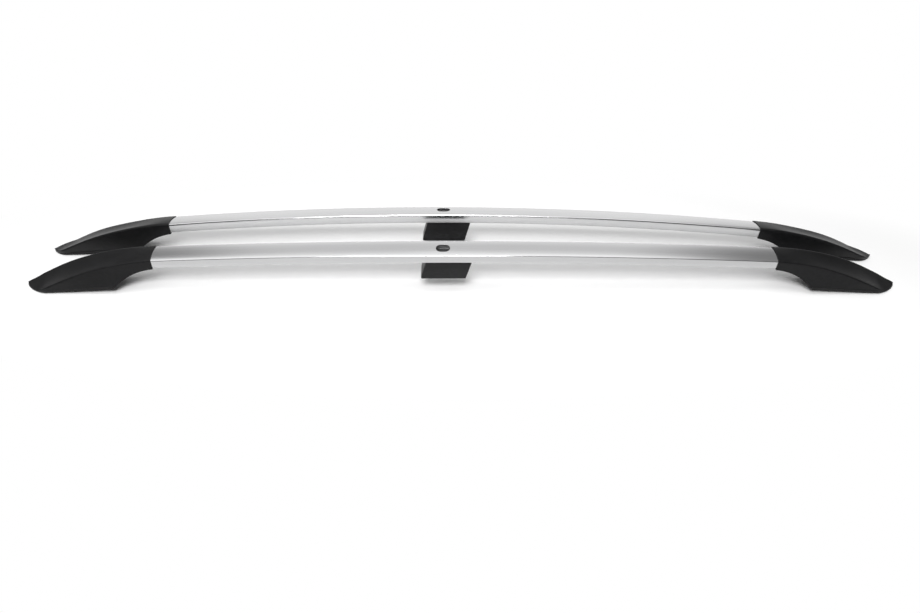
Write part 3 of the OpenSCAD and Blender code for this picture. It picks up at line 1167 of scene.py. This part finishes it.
@dataclass(frozen=True)
class Tent:
    """The white tent's light.

    Its ramps run from the level behind the rails, over them to the level in front, as shares
    of half a turn. Metal mirrors the tent as it is, and its soft light is evened out.
    """

    middle: Stops = (
        (0.0, 0.57),
        (0.19, 0.57),
        (0.28, 0.44),
        (0.32, 0.45),
        (0.4, 0.5),
        (0.5, 0.4),
        (0.6, 0.06),
        (0.92, 0.03),
        (1.0, 0.2),
    )
    sides: Stops = (
        (0.0, 0.48),
        (0.12, 0.44),
        (0.18, 0.3),
        (0.24, 0.16),
        (0.34, 0.12),
        (0.42, 0.16),
        (0.5, 0.16),
        (0.6, 0.05),
        (0.92, 0.03),
        (1.0, 0.2),
    )
    to_sides: Step = (0.3, 0.52)
    wall_level: float = 2.0
    to_ends: Step = (0.52, 0.7)
    end_level: float = 0.2
    roof_angle: Window = (0.34, 0.4, 0.62, 0.7)
    roof_length: Window = (-0.9, -0.7, 0.34, 0.5)
    roof_level: float = 1.55
    soft_level: float = 0.5
    soft_pattern: float = 0.5
    soft_strength: float = 0.56

    def pattern(self, graph: Graph) -> Field:
        """Works out the tent's brightness by direction.

        Args:
            graph: The world's graph.

        Returns:
            The brightness, as a colour.
        """
        x, y, z = graph.axes(graph.add("ShaderNodeTexCoord", output="Generated"))
        angle = graph.add("ShaderNodeMath", {"operation": "ARCTAN2"}, {0: z, 1: y})
        lean = angle * (1.0 / math.pi)
        middle, sides = graph.ramp(lean, self.middle), graph.ramp(lean, self.sides)
        walls = graph.tint(abs(x).between(*self.to_sides), middle, sides) * self.wall_level
        ends = graph.tint(abs(x).between(*self.to_ends), walls, grey(self.end_level))
        roof = lean.within(*self.roof_angle) * x.within(*self.roof_length)
        return graph.tint(roof, ends, grey(self.roof_level))

    def light(self) -> None:
        """Makes the world, which the camera sees as plain white."""
        world = bpy.data.worlds.new("white_tent")
        bpy.context.scene.world = world
        graph = Graph(world)
        pattern = self.pattern(graph)
        soft = graph.tint(self.soft_pattern, grey(self.soft_level), pattern)
        dim = {"Color": soft, "Strength": self.soft_strength}
        lit = graph.mixed(
            graph.seen(),
            graph.add("ShaderNodeBackground", inputs=dim),
            graph.add("ShaderNodeBackground", inputs={"Color": pattern}),
        )
        white = graph.add("ShaderNodeBackground", inputs={"Color": grey(1.0)})
        shader = graph.mixed(graph.rays("Is Camera Ray"), lit, white)
        graph.add("ShaderNodeOutputWorld", inputs={"Surface": shader})
        log.info("world: %s", world.name)


@dataclass(frozen=True)
class SoftBox:
    """Rectangular lamp, in metres and watts."""

    name: str
    place: Point
    target: Point
    size: tuple[float, float]
    watts: float
    mirrored: bool = True

    def hang(self) -> None:
        """Hangs the lamp and aims it at its target."""
        lamp = bpy.data.lights.new(self.name, "AREA")
        lamp.shape = "RECTANGLE"
        lamp.size, lamp.size_y = self.size
        lamp.energy = self.watts
        holder = new_object(self.name, lamp)
        holder.location = self.place
        aim = Vector(self.target) - Vector(self.place)
        holder.rotation_euler = aim.to_track_quat("-Z", "Y").to_euler()
        holder.visible_glossy = self.mirrored
        log.info("lamp %s: %.0f W", self.name, self.watts)


@dataclass(frozen=True)
class Camera:
    """The camera at its fitted place in metres and turns in degrees.

    Its focal length is in pixels of a picture of the given width, and its sensor in millimetres.
    """

    place: Point = (-0.0396, -1.266, 0.9211)
    pitch: float = 39.24
    yaw: float = 1.26
    roll: float = 0.983
    focal_pixels: float = 689.5
    picture_width: int = 920
    sensor: float = 36.0
    far: float = 60.0

    def stand(self) -> None:
        """Sets the camera up."""
        pitch, yaw, roll = (math.radians(turn) for turn in (self.pitch, self.yaw, self.roll))
        flat = Vector((math.sin(yaw), math.cos(yaw), 0.0)) * math.cos(pitch)
        ahead = flat - Vector((0.0, 0.0, math.sin(pitch)))
        level = Vector((math.cos(yaw), -math.sin(yaw), 0.0))
        above = level.cross(ahead)
        right = math.cos(roll) * level + math.sin(roll) * above
        up = -math.sin(roll) * level + math.cos(roll) * above
        turn = Matrix((right, up, -ahead)).transposed()
        data = bpy.data.cameras.new("camera")
        data.sensor_width = self.sensor
        data.lens = self.focal_pixels * self.sensor / self.picture_width
        data.clip_end = self.far
        camera = new_object("camera", data)
        camera.matrix_world = Matrix.Translation(self.place) @ turn.to_4x4()
        bpy.context.scene.camera = camera
        log.info("camera: %.1f mm lens", data.lens)


@dataclass(frozen=True)
class Studio:
    """Floor, tent, lamps and camera: the key lamp on the camera's side, a weak one overhead."""

    floor: Floor = Floor()
    tent: Tent = Tent()
    key: SoftBox = SoftBox("key", (-0.25, -1.74, 2.1), (0.0, 0.0, 0.05), (1.1, 0.85), 67.0)
    overhead: SoftBox = SoftBox(
        "overhead", (-0.15, -0.25, 2.2), (-0.15, -0.15, 0.0), (1.4, 0.8), 11.0, mirrored=False
    )
    camera: Camera = Camera()

    def build(self) -> None:
        """Makes the whole studio."""
        self.floor.lay()
        self.tent.light()
        self.key.hang()
        self.overhead.hang()
        self.camera.stand()


def note_sizes(sizes: SizeLog, key: str) -> None:
    """Keeps the whole object's box as plain numbers."""
    sizes[key] = [[float(v) for v in corner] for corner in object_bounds()]


def main() -> None:
    """Builds the scene."""
    logging.basicConfig(level=logging.INFO, format="%(message)s")
    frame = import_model()
    sizes: SizeLog = {}
    note_sizes(sizes, "cad")
    scene = bpy.context.scene
    scene.view_settings.view_transform = "Standard"
    finishes = Finishes()
    for side in Side:
        Rail(side, frame["nodes"], Workshop(finishes)).build()
    Studio().build()
    note_sizes(sizes, "visual")


if __name__ == "__main__":
    main()
